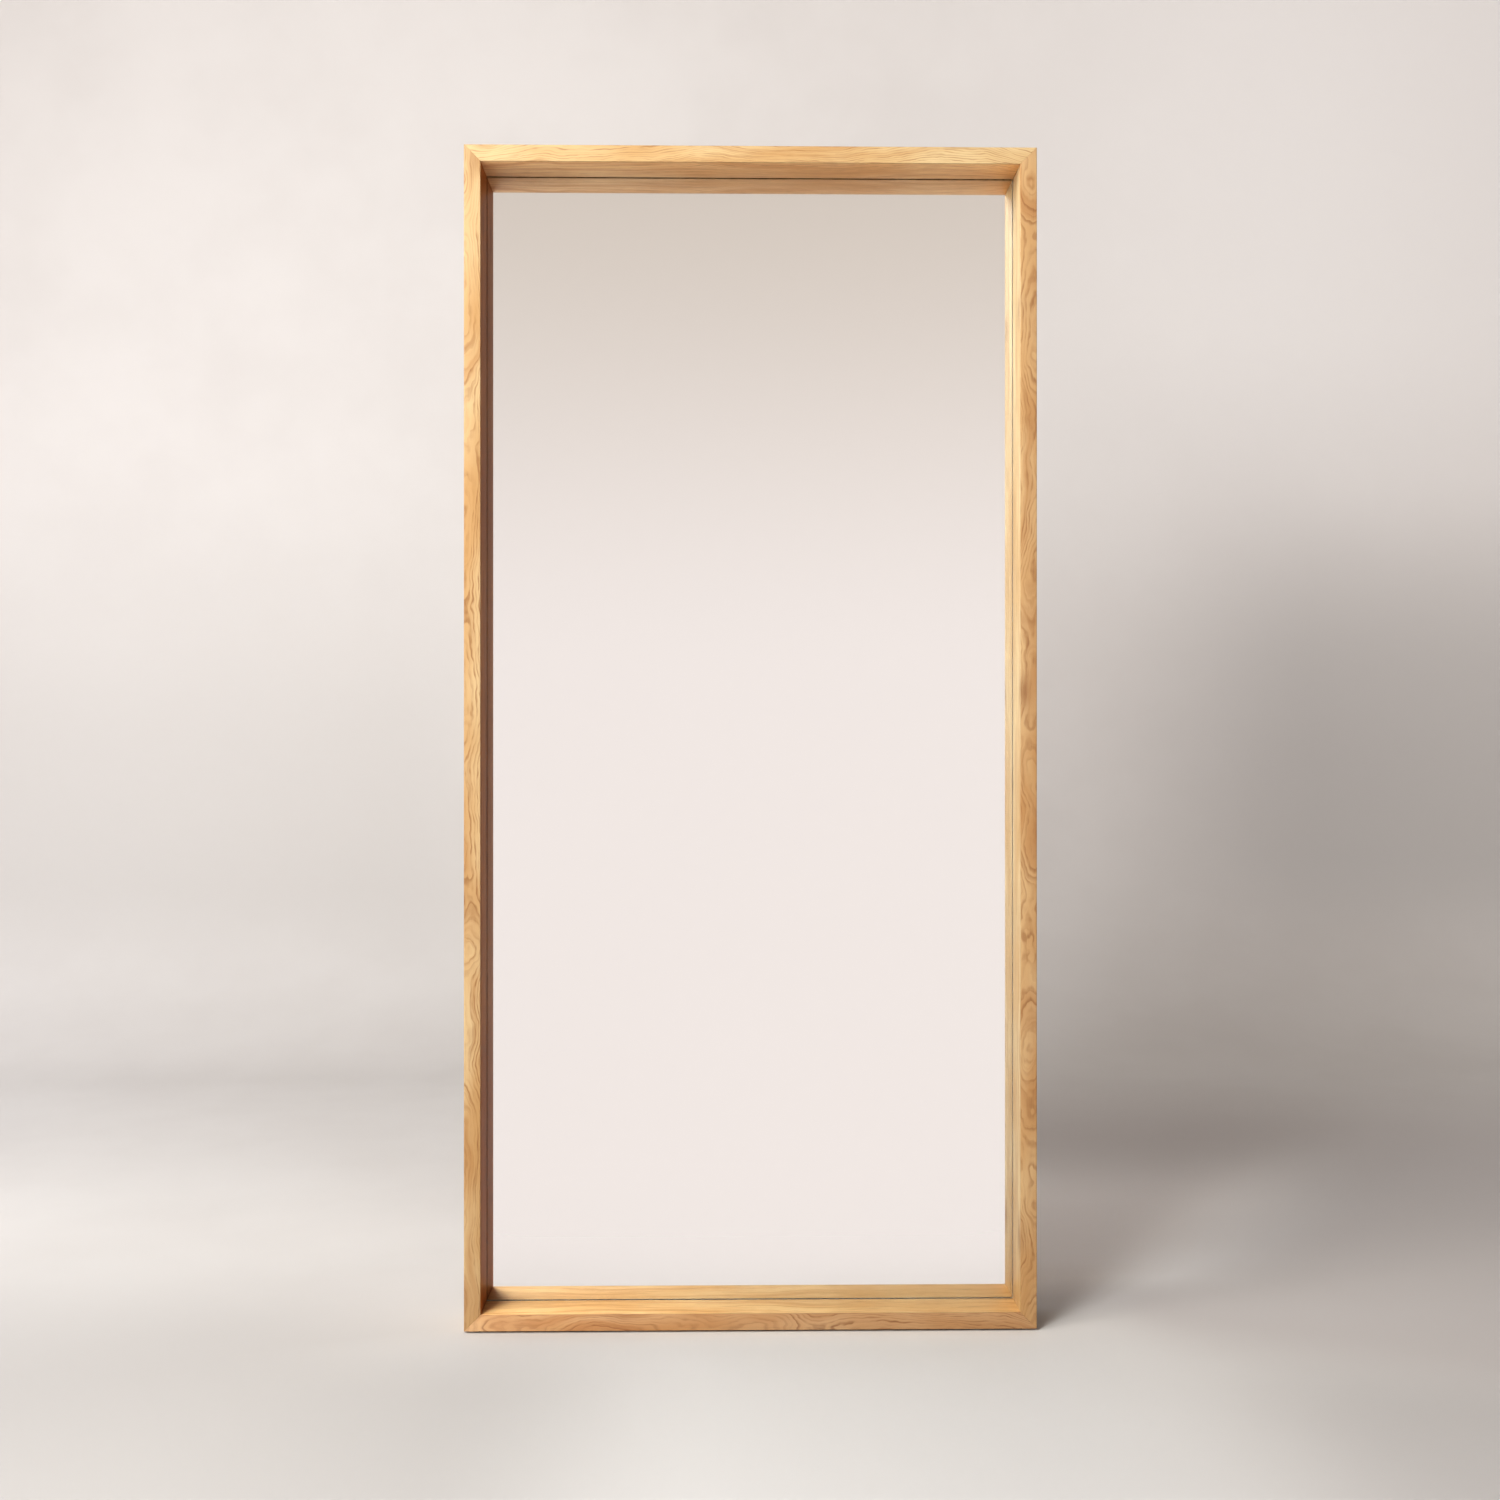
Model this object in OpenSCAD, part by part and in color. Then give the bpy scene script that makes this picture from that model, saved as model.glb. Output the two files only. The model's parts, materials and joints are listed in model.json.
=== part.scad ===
// Full-length floor mirror. A deep mitred oak frame holds a mirror well behind its front edge,
// and a folding easel stand behind it swings on two bolts. Millimetres, +Z up, front towards -Y.
// The origin is on the floor, under the middle of the open mirror's footprint.

/* [Frame] */
// Outside width of the frame
frame_w = 900; // [700:10:1100]
// Outside height of the frame, without its foot pads
frame_h = 1860; // [1600:10:2000]
// Depth of the frame boards, from front edge to back edge
frame_d = 110; // [106:1:130]
// Thickness of the frame boards
board_t = 26; // [22:0.5:32]
// Board thickness left outside the rabbet
wall_t = 16; // [12:0.5:18]
// Thickness of the pads under the frame
pad_t = 3; // [1.5:0.5:5]

/* [Glass and backing] */
// Distance of the glass behind the front edge
recess_d = 72; // [50:1:72]
// Thickness of the glass
glass_t = 4; // [3:0.5:6]
// Thickness of the silvering with its protective paint
silver_t = 0.3; // [0.2:0.1:0.5]
// Thickness of the backer panel
backer_t = 6; // [3:0.5:8]
// Gap left round the glass in its rabbet
glass_gap = 2; // [1.5:0.5:3]

/* [Back rails] */
// Height of the middle of the upper rail, which carries the hangers
upper_rail_z = 1480; // [1440:10:1500]
// Height of the middle of the lower rail, which carries the fold buffers
lower_rail_z = 260; // [200:10:400]
// Width of the upper and lower rails
rail_w = 70; // [60:1:100]
// Distance between the two hangers
hanger_spacing = 600; // [400:10:620]

/* [Stand] */
// Height of the pivot bolts above the floor
pivot_z = 1200; // [1000:10:1250]
// Angle of the open stand from the vertical
open_angle = 12; // [9:0.5:15]
// Distance between the middles of the two legs
leg_spacing = 400; // [300:10:480]
// Width of a leg
leg_w = 40; // [36:1:50]
// Thickness of a leg
leg_t = 20; // [18:1:24]
// Length of the heel above the pivot
heel_h = 70; // [64:1:80]
// Width of a cross rail in the stand
cross_w = 50; // [46:1:70]

/* [Hardware] */
// Radius of the pivot bolts
bolt_r = 4; // [3:0.5:5]
// Radial clearance between a bolt and the bush that turns on it
bush_gap = 0.05; // [0.02:0.01:0.1]
// Thickness of the bracket steel
steel_t = 3; // [2:0.5:4]
// Wire radius of the hanger rings
wire_r = 2; // [1.5:0.25:2.5]

/* [Hidden] */

oak = [0.86, 0.68, 0.47];
pine = [0.88, 0.76, 0.56];
hardboard = [0.50, 0.36, 0.24];
beech = [0.83, 0.66, 0.47];
clear = [0.82, 0.88, 0.86, 0.35];
silver = [0.88, 0.89, 0.90];
zinc = [0.68, 0.69, 0.70];
brass = [0.78, 0.62, 0.34];
rubber = [0.10, 0.10, 0.10];

round_fn = 48;
screw_fn = 24;
cut = 1;

// Frame
frame_top = pad_t + frame_h;
rabbet_x = frame_w / 2 - wall_t;
rabbet_lo = pad_t + wall_t;
rabbet_hi = frame_top - wall_t;
spline_w = 14;
spline_t = 4;
spline_y = [10, recess_d - 8];
pad_size = [44, 30];
pad_inset = [22, 8];

// Layers from the glass to the back face of the rails
silver_y = recess_d + glass_t;
backer_y = silver_y + silver_t;
rail_y = backer_y + backer_t;
back_inset = 2.7;
rail_back = frame_d - back_inset;
rail_t = rail_back - rail_y;
lap_t = 8;
batten_d = rail_t - lap_t;
batten_w = 16;
batten_x = rabbet_x - batten_w;
backer_gap = 1;
block_l = 60;

// Stand
stop_t = 3;
stop_gap = 0.3;
heel_flat = 18;
heel_cut = leg_t / 2 * cos(open_angle) + (heel_h - heel_flat) * sin(open_angle);
pivot_y = rail_back + stop_t + stop_gap + heel_cut;
foot_t = 3;
foot_r = leg_t / 2 + foot_t;
foot_h = 36;
leg_l = (pivot_z - foot_r) / cos(open_angle);
leg_x = leg_spacing / 2;
span = leg_spacing - leg_w;
cross_t = leg_t - 3;
tenon = [26, 9, cross_w - 14];
cross_z = [-115, -leg_l / 2 - 20, -leg_l + 130];
pin_r = 3.5;
pin_proud = 0.4;

// The hinge rail reaches from below the brackets to above the stop pads
hinge_rail_z = [pivot_z - 45, pivot_z + heel_h + 15];

// Pivot hardware
side_gap = 1;
bush_proud = side_gap - 0.3;
bush_t = 2;
plate_x = leg_w / 2 + side_gap + steel_t + 20;
plate_z = 24;
ear_r = 2 * bolt_r + 3;
ear_base = 20;
ear_x = leg_w / 2 + side_gap;
bolt_head = [bolt_r * 1.7, 4.5];
nut_r = bolt_r * 1.85;
nut_h = 6.5;
bolt_end = 2;

// Screws, as head radius, head height, shank radius and shank length
batten_screw = [3.5, 1.5, 1.75, 26];
rail_screw = [4, 1.8, 2, 20];
bracket_screw = [4.2, 2.2, 2.2, 18];
hanger_screw = [3.2, 1.6, 1.6, 15];

// Hangers
knuckle_r = wire_r + 1.5;
hanger_w = 18;
hanger_h = 42;
hanger_t = 1.5;
ring_r = 15;
hanger_x = hanger_spacing / 2;

depth = pivot_y + leg_l * sin(open_angle) + foot_r;

// Shifts a piece from the front edge of the frame to the middle of the footprint
module place() translate([0, -depth / 2, 0]) children();

// Extrudes a shape drawn in X and Z from y_a to y_b
module xz_extrude(y_a, y_b)
    translate([0, y_b, 0]) rotate([90, 0, 0]) linear_extrude(y_b - y_a) children();

// A box between two corners
module span_box(low, high) translate(low) cube(high - low);

// A cylinder along X centred on the origin, and one along +Y from the origin
module rod_x(r, l, fn = round_fn) rotate([0, 90, 0]) cylinder(r = r, h = l, center = true, $fn = fn);
module rod_y(r, l, fn = round_fn) rotate([-90, 0, 0]) cylinder(r = r, h = l, $fn = fn);

// A pan-head screw with its head above Z = 0 and its shank below it
module screw(s) {
    cylinder(r1 = s[0], r2 = s[0] * 0.75, h = s[1], $fn = screw_fn);
    translate([0, 0, -s[3]]) cylinder(r = s[2], h = s[3], $fn = screw_fn);
}

// The same screw driven forwards from behind
module screw_from_behind(s) rotate([-90, 0, 0]) screw(s);

// ---- Frame ----

// Space behind the shoulder that takes the glass and its backing
module rabbet_space()
    span_box([-rabbet_x, recess_d, rabbet_lo], [rabbet_x, frame_d + cut, rabbet_hi]);

// One loose tongue in each mitre
module splines()
    for (x = [-1, 1], top = [0, 1])
        translate([
            x * (frame_w - board_t) / 2,
            (spline_y[0] + spline_y[1]) / 2,
            top == 1 ? frame_top - board_t / 2 : pad_t + board_t / 2
        ])
            rotate([0, x * (top == 1 ? -45 : 45), 0])
                cube([spline_w, spline_y[1] - spline_y[0], spline_t], center = true);

// An upright board with a mitre at each end
module stile(side)
    place() color(oak)
        difference() {
            xz_extrude(0, frame_d) polygon([
                [side * frame_w / 2, pad_t],
                [side * (frame_w / 2 - board_t), pad_t + board_t],
                [side * (frame_w / 2 - board_t), frame_top - board_t],
                [side * frame_w / 2, frame_top]
            ]);
            rabbet_space();
            splines();
        }

// A level board with a mitre at each end
module level_board(z_out, z_in)
    place() color(oak)
        difference() {
            xz_extrude(0, frame_d) polygon([
                [-frame_w / 2, z_out],
                [frame_w / 2, z_out],
                [frame_w / 2 - board_t, z_in],
                [-frame_w / 2 + board_t, z_in]
            ]);
            rabbet_space();
            splines();
        }

module left_stile() stile(-1);
module right_stile() stile(1);
module top_rail() level_board(frame_top, frame_top - board_t);
module bottom_rail() level_board(pad_t, pad_t + board_t);

module corner_splines() place() color(beech) splines();

module foot_pads()
    place() color(rubber)
        for (x = [-1, 1], y = [pad_inset[1], frame_d - pad_inset[1] - pad_size[1]])
            translate([x * (frame_w / 2 - pad_inset[0] - pad_size[0] / 2) - pad_size[0] / 2, y, 0])
                cube([pad_size[0], pad_size[1], pad_t]);

// ---- Glass and backing ----

// A sheet in the rabbet, from y_a to y_b, with a gap left round it
module sheet(y_a, y_b, gap)
    span_box([-rabbet_x + gap, y_a, rabbet_lo + gap], [rabbet_x - gap, y_b, rabbet_hi - gap]);

module mirror_glass() place() color(clear) sheet(recess_d, silver_y, glass_gap);
module silver_layer() place() color(silver) sheet(silver_y, backer_y, glass_gap);
module backer_panel() place() color(hardboard) sheet(backer_y, rail_y, backer_gap);

// Blocks that carry the glass on the floor of the rabbet
module setting_blocks()
    place() color(rubber)
        for (x = [-1, 1])
            translate([x * frame_w / 4 - block_l / 2, recess_d, rabbet_lo])
                cube([block_l, glass_t, glass_gap]);

// Side battens run the full height, and the level ones fit between them
module side_batten(side)
    place() color(pine)
        translate([side < 0 ? -rabbet_x : batten_x, rail_y, rabbet_lo])
            cube([batten_w, batten_d, rabbet_hi - rabbet_lo]);
module level_batten(z)
    place() color(pine)
        translate([-batten_x, rail_y, z]) cube([2 * batten_x, batten_d, batten_w]);

module batten_left() side_batten(-1);
module batten_right() side_batten(1);
module batten_top() level_batten(rabbet_hi - batten_w);
module batten_bottom() level_batten(rabbet_lo);

module batten_screws()
    place() color(zinc)
        translate([0, rail_y + batten_d / 2, 0]) {
            for (x = [-1, 1], i = [0:5])
                translate([x * batten_x, 0, pad_t + frame_h * (0.07 + 0.172 * i)])
                    rotate([0, -x * 90, 0]) screw(batten_screw);
            for (i = [-1, 0, 1], top = [0, 1])
                translate([
                    i * frame_w * 0.34,
                    0,
                    top == 1 ? rabbet_hi - batten_w : rabbet_lo + batten_w
                ])
                    rotate([top == 1 ? 180 : 0, 0, 0]) screw(batten_screw);
        }

// ---- Back rails ----

// A cross rail behind the backer, thinned at each end to lap over the side battens
module back_rail(z_a, z_b)
    place() color(oak)
        difference() {
            span_box([-rabbet_x, rail_y, z_a], [rabbet_x, rail_back, z_b]);
            for (x = [-1, 1])
                translate([x * (batten_x + rabbet_x + cut) / 2, rail_y - cut, (z_a + z_b) / 2])
                    translate([-(batten_w + cut) / 2, 0, -(z_b - z_a) / 2 - cut])
                        cube([batten_w + cut, batten_d + cut, z_b - z_a + 2 * cut]);
        }

module upper_back_rail() back_rail(upper_rail_z - rail_w / 2, upper_rail_z + rail_w / 2);
module hinge_rail() back_rail(hinge_rail_z[0], hinge_rail_z[1]);
module lower_back_rail() back_rail(lower_rail_z - rail_w / 2, lower_rail_z + rail_w / 2);

// Two screws through each lap into the batten under it
module rail_screws()
    place() color(zinc)
        for (x = [-1, 1])
            translate([x * (batten_x + batten_w / 2), rail_back, 0])
                for (z = [
                    upper_rail_z - rail_w / 4, upper_rail_z + rail_w / 4,
                    hinge_rail_z[0] + 25, hinge_rail_z[1] - 25,
                    lower_rail_z - rail_w / 4, lower_rail_z + rail_w / 4
                ])
                    translate([0, 0, z]) screw_from_behind(rail_screw);

// ---- Pivot hardware ----

// One ear of a bracket, tapering to a round end about the bolt
module ear()
    difference() {
        union() {
            rotate([90, 0, 90]) linear_extrude(steel_t) polygon([
                [rail_back, -ear_base], [pivot_y, -ear_r], [pivot_y, ear_r], [rail_back, ear_base]
            ]);
            translate([steel_t / 2, pivot_y, 0]) rod_x(ear_r, steel_t);
        }
        translate([steel_t / 2, pivot_y, 0]) rod_x(bolt_r, steel_t + 2 * cut);
    }

// A folded steel bracket with an ear on each side of the leg
module pivot_bracket(side)
    place() color(zinc) translate([side * leg_x, 0, pivot_z]) {
        translate([-plate_x, rail_back, -plate_z]) cube([2 * plate_x, steel_t, 2 * plate_z]);
        translate([ear_x, 0, 0]) ear();
        translate([-ear_x - steel_t, 0, 0]) ear();
    }

module pivot_bracket_left() pivot_bracket(-1);
module pivot_bracket_right() pivot_bracket(1);

module bracket_screws()
    place() color(zinc)
        for (side = [-1, 1], x = [-1, 1], z = [-1, 1])
            translate([
                side * leg_x + x * (plate_x - 10), rail_back + steel_t, pivot_z + z * (plate_z - 10)
            ])
                screw_from_behind(bracket_screw);

// Each bolt has its head outwards and its nut inwards
module pivot_bolts()
    place() color(zinc)
        for (side = [-1, 1])
            translate([side * leg_x, pivot_y, pivot_z]) {
                translate([side * (ear_x + steel_t + bolt_head[1] / 2), 0, 0])
                    rod_x(bolt_head[0], bolt_head[1]);
                translate([-side * (nut_h + bolt_end) / 2, 0, 0])
                    rod_x(bolt_r, 2 * (ear_x + steel_t) + nut_h + bolt_end);
            }

module pivot_nuts()
    place() color(zinc)
        for (side = [-1, 1])
            translate([side * (leg_x - ear_x - steel_t - nut_h / 2), pivot_y, pivot_z])
                difference() {
                    rod_x(nut_r, nut_h, 6);
                    rod_x(bolt_r, nut_h + 2 * cut);
                }

// Pads on the hinge rail that the heels of the open stand bear on
module stop_pads()
    place() color(rubber)
        for (side = [-1, 1])
            translate([side * leg_x - leg_w / 2 + 3, rail_back, pivot_z + heel_h - 26])
                cube([leg_w - 6, stop_t, 30]);

// Buffers on the lower rail that the folded legs rest on
buffer_r = 11;
buffer_l = pivot_y - leg_t / 2 - stop_gap - rail_back;
buffer_bore_r = 5.5;
buffer_floor = 4;

module fold_buffers()
    place() color(rubber)
        for (side = [-1, 1])
            translate([side * leg_x, rail_back, lower_rail_z])
                difference() {
                    rod_y(buffer_r, buffer_l);
                    translate([0, buffer_floor, 0]) rod_y(buffer_bore_r, buffer_l);
                }

module buffer_screws()
    place() color(zinc)
        for (side = [-1, 1])
            translate([side * leg_x, rail_back + buffer_floor, lower_rail_z])
                screw_from_behind(bracket_screw);

// ---- Hangers ----

// A strap plate with a rolled end that holds the straight side of the ring
module hanger_plate(side)
    place() color(zinc) translate([side * hanger_x, rail_back, upper_rail_z])
        difference() {
            union() {
                translate([-hanger_w / 2, 0, 0]) cube([hanger_w, hanger_t, hanger_h]);
                translate([0, knuckle_r, 0]) rod_x(knuckle_r, hanger_w);
            }
            translate([0, knuckle_r, 0]) rod_x(wire_r + bush_gap, hanger_w + 2 * cut);
        }

module hanger_plate_left() hanger_plate(-1);
module hanger_plate_right() hanger_plate(1);

module hanger_screws()
    place() color(zinc)
        for (side = [-1, 1], z = [15, 32])
            translate([side * hanger_x, rail_back + hanger_t, upper_rail_z + z])
                screw_from_behind(hanger_screw);

// A D-shaped ring that hangs from its straight side
module ring(side)
    place() color(zinc) translate([side * hanger_x, rail_back + knuckle_r, upper_rail_z]) {
        rod_x(wire_r, 2 * ring_r, screw_fn);
        for (x = [-1, 1]) translate([x * ring_r, 0, 0]) sphere(r = wire_r, $fn = screw_fn);
        rotate([90, 180, 0])
            rotate_extrude(angle = 180, $fn = round_fn)
                translate([ring_r, 0]) circle(r = wire_r, $fn = screw_fn);
    }

module ring_left() ring(-1);
module ring_right() ring(1);

// ---- Stand ----

// Puts a piece drawn about the pivot, with the leg hanging straight down, in its open place
module open_stand()
    place() translate([0, pivot_y, pivot_z]) rotate([open_angle, 0, 0]) children();

// The tenons of the cross rails, on the side of one leg
module tenons(side)
    for (z = cross_z)
        translate([side * (span / 2 + tenon[0] / 2), 0, z]) cube(tenon, center = true);

// A leg with mortises, a bored pivot and a heel cut to lie flat on the stop pad
module stand_leg(side)
    open_stand() color(oak)
        difference() {
            translate([side * leg_x - leg_w / 2, -leg_t / 2, -leg_l]) cube([leg_w, leg_t, leg_l + heel_h]);
            translate([side * leg_x, 0, 0]) rod_x(bolt_r + bush_gap + bush_t, leg_w + 2 * cut);
            tenons(side);
            rotate([-open_angle, 0, 0])
                translate([side * leg_x - leg_w, -heel_cut - leg_t, 0])
                    cube([2 * leg_w, leg_t, 2 * heel_h]);
        }

module stand_leg_left() stand_leg(-1);
module stand_leg_right() stand_leg(1);

// A cross rail with a tenon at each end
module cross_rail(i)
    open_stand() color(oak) {
        translate([0, 0, cross_z[i]]) cube([span, cross_t, cross_w], center = true);
        for (side = [-1, 1])
            translate([side * (span + tenon[0]) / 2, 0, cross_z[i]]) cube(tenon, center = true);
    }

module stand_top_rail() cross_rail(0);
module stand_middle_rail() cross_rail(1);
module stand_bottom_rail() cross_rail(2);

// Two pins through each tenon
module tenon_pins()
    open_stand() color(beech)
        for (side = [-1, 1], z = cross_z, k = [-1, 1])
            translate([
                side * (span / 2 + tenon[0] / 2), -leg_t / 2 - pin_proud, z + k * tenon[2] / 4
            ])
                rod_y(pin_r, leg_t + 2 * pin_proud, screw_fn);

// A plain sleeve in each leg that turns on the bolt
module pivot_bushes()
    open_stand() color(brass)
        for (side = [-1, 1])
            translate([side * leg_x, 0, 0])
                difference() {
                    rod_x(bolt_r + bush_gap + bush_t, leg_w + 2 * bush_proud);
                    rod_x(bolt_r + bush_gap, leg_w + 2 * side_gap + 2 * cut);
                }

// A rubber cap over the end of a leg, with a rounded tread
module stand_foot(side)
    open_stand() color(rubber)
        translate([side * leg_x, 0, -leg_l])
            difference() {
                union() {
                    translate([-leg_w / 2 - foot_t, -foot_r, 0])
                        cube([leg_w + 2 * foot_t, 2 * foot_r, foot_h]);
                    rod_x(foot_r, leg_w + 2 * foot_t);
                }
                translate([-leg_w / 2, -leg_t / 2, 0]) cube([leg_w, leg_t, foot_h + cut]);
            }

module stand_foot_left() stand_foot(-1);
module stand_foot_right() stand_foot(1);

left_stile();
right_stile();
top_rail();
bottom_rail();
corner_splines();
foot_pads();
mirror_glass();
silver_layer();
setting_blocks();
backer_panel();
batten_left();
batten_right();
batten_top();
batten_bottom();
batten_screws();
upper_back_rail();
hinge_rail();
lower_back_rail();
rail_screws();
pivot_bracket_left();
pivot_bracket_right();
bracket_screws();
pivot_bolts();
pivot_nuts();
stop_pads();
fold_buffers();
buffer_screws();
hanger_plate_left();
hanger_plate_right();
hanger_screws();
ring_left();
ring_right();
stand_leg_left();
stand_leg_right();
stand_top_rail();
stand_middle_rail();
stand_bottom_rail();
tenon_pins();
pivot_bushes();
stand_foot_left();
stand_foot_right();
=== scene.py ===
"""Looks for the full-length oak floor mirror: materials, detailed pieces, studio and camera."""

import json
import math

import bmesh
import bpy
from mathutils import Matrix, Vector


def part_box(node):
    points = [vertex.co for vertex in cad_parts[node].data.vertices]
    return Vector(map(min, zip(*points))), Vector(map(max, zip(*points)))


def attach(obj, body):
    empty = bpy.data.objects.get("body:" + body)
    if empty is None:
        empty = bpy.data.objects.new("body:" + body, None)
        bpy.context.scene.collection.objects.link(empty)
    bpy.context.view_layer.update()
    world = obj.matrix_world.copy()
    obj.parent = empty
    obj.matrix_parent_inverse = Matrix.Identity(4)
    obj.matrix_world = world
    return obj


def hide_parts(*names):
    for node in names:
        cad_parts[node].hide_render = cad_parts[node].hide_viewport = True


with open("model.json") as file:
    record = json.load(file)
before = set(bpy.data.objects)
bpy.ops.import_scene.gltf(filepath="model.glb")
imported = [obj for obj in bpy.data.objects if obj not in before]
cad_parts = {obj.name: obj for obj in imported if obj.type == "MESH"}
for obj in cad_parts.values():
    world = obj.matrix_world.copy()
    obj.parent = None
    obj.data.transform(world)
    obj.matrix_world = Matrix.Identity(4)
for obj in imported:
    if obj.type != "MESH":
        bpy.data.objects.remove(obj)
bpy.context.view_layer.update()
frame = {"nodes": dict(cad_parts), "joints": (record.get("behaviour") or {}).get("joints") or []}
NODES = frame["nodes"]
MM = 0.001

# ---------------------------------------------------------------- places read from the CAD frame

STILE_LO, STILE_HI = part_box("left_stile")
GLASS_LO, GLASS_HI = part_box("mirror_glass")
SILVER_LO, SILVER_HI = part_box("silver_layer")
FRONT, BACK = STILE_LO.y, STILE_HI.y
LEFT, RIGHT = STILE_LO.x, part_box("right_stile")[1].x
FOOT, TOP = STILE_LO.z, STILE_HI.z
HEIGHT, WIDTH, DEPTH = TOP - FOOT, RIGHT - LEFT, BACK - FRONT
MID_Z = (FOOT + TOP) / 2
BOARD = STILE_HI.x - STILE_LO.x
RECESS = GLASS_LO.y - FRONT
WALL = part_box("batten_left")[0].x - LEFT
JOINTS = {j["name"]: j for j in frame["joints"]}
PIVOT = Vector(JOINTS["stand_fold"]["pos_m"])
OPEN = math.radians(JOINTS["stand_fold"]["range_deg"][1])


# ---------------------------------------------------------------- node helpers


class Tree:
    """A short way to write the nodes of a material or of the world."""

    def __init__(self, owner, output="ShaderNodeOutputMaterial"):
        owner.use_nodes = True
        self.owner, self.t = owner, owner.node_tree
        self.t.nodes.clear()
        self.out = self.t.nodes.new(output)

    def put(self, socket, value):
        if isinstance(value, bpy.types.NodeSocket):
            self.t.links.new(value, socket)
        elif value is not None:
            socket.default_value = value

    def node(self, kind, _set=None, **inputs):
        n = self.t.nodes.new(kind)
        for k, v in (_set or {}).items():
            setattr(n, k, v)
        for k, v in inputs.items():
            self.put(n.inputs[k.replace("_", " ")], v)
        return n

    def math(self, op, a, b=None, c=None, clamp=False):
        n = self.t.nodes.new("ShaderNodeMath")
        n.operation, n.use_clamp = op, clamp
        for i, v in enumerate((a, b, c)):
            if v is not None:
                self.put(n.inputs[i], v)
        return n.outputs[0]

    def product(self, first, *rest):
        for factor in rest:
            first = self.math("MULTIPLY", first, factor)
        return first

    def length(self, a, b):
        return self.math("SQRT", self.math("ADD", self.product(a, a), self.product(b, b)))

    def coords(self, tilt=0.0):
        """The piece's own X, Y and Z, turned back by tilt about the stand's pivot."""
        sep = self.node("ShaderNodeSeparateXYZ")
        place = self.t.nodes.new("ShaderNodeTexCoord").outputs["Object"]
        if tilt:
            turn = self.node("ShaderNodeVectorRotate", {"rotation_type": "X_AXIS"}, Vector=place)
            turn.inputs["Center"].default_value = PIVOT
            turn.inputs["Angle"].default_value = -tilt
            place = turn.outputs[0]
        self.t.links.new(place, sep.inputs[0])
        return sep.outputs["X"], sep.outputs["Y"], sep.outputs["Z"]

    def vec(self, *parts):
        """A vector of three parts. A part is a value, or a value and what it is multiplied by."""
        n = self.t.nodes.new("ShaderNodeCombineXYZ")
        for socket, part in zip(n.inputs, parts):
            self.put(socket, self.product(*part) if isinstance(part, tuple) else part)
        return n.outputs[0]

    def split(self, vector):
        n = self.t.nodes.new("ShaderNodeSeparateXYZ")
        self.t.links.new(vector, n.inputs[0])
        return n.outputs

    def noise(self, vector, scale=1.0, detail=2.0, rough=0.5, warp=0.0, colour=False):
        n = self.node("ShaderNodeTexNoise", Vector=vector, Scale=scale, Detail=detail, Roughness=rough)
        n.inputs["Distortion"].default_value = warp
        return n.outputs["Color" if colour else 0]

    def cells(self, vector, scale):
        """The distance to the nearest of a scatter of points."""
        return self.node("ShaderNodeTexVoronoi", Vector=vector, Scale=scale).outputs["Distance"]

    def ramp(self, value, low, high):
        """0 below low, 1 above high, and smooth between them."""
        n = self.node("ShaderNodeMapRange", {"interpolation_type": "SMOOTHSTEP"}, Value=value)
        n.inputs["From Min"].default_value = low
        n.inputs["From Max"].default_value = high
        return n.outputs["Result"]

    def fall(self, value, low, high):
        """1 below low, 0 above high."""
        return self.math("SUBTRACT", 1.0, self.ramp(value, low, high))

    def band(self, value, rise, fall):
        """1 between the two ramps rise and fall, and 0 outside them."""
        return self.math("SUBTRACT", self.ramp(value, *rise), self.ramp(value, *fall), clamp=True)

    def mix(self, fac, a, b, blend="MIX"):
        n = self.t.nodes.new("ShaderNodeMix")
        n.data_type, n.blend_type = "RGBA", blend
        self.put(n.inputs[0], fac)
        self.put(n.inputs[6], rgba(a))
        self.put(n.inputs[7], rgba(b))
        return n.outputs[2]

    def layer(self, base, colour, *mask):
        """Lays a colour over base where the product of the masks is high."""
        return self.mix(self.product(*mask), base, colour)

    def times(self, a, b):
        """The product of two colours."""
        return self.mix(1.0, a, b, "MULTIPLY")

    def bump(self, height, strength, distance):
        return self.node("ShaderNodeBump", Strength=strength, Distance=distance, Height=height).outputs[0]

    def surface(self, **inputs):
        p = self.node("ShaderNodeBsdfPrincipled", **inputs)
        self.t.links.new(p.outputs[0], self.out.inputs["Surface"])
        return p


def rgba(c):
    return c if isinstance(c, bpy.types.NodeSocket) else (*c[:3], 1.0)


def srgb(r, g, b):
    """A colour written as 0 to 255 display values."""
    return tuple(
        (v / 255 / 12.92 if v <= 10 else ((v / 255 + 0.055) / 1.055) ** 2.4) for v in (r, g, b)
    )


def material(name):
    return Tree(bpy.data.materials.new(name))


# ---------------------------------------------------------------- materials

RING_WIDTH = 2.4 * MM
OAK_PALE, OAK_HONEY, OAK_DARK = srgb(240, 204, 152), srgb(222, 174, 116), srgb(166, 110, 62)
OAK_BAND, OAK_KNOT, OAK_PORE = srgb(204, 148, 92), srgb(150, 92, 50), srgb(120, 74, 40)
# Bare wood on the ledge under the glass, painted near white: bare oak, and painted light where the mirror
# throws light on it
BARE_OAK_AND_LIGHT = (0.97, 0.93, 0.86)
UNTINTED = (1.0, 1.0, 1.0)


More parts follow.
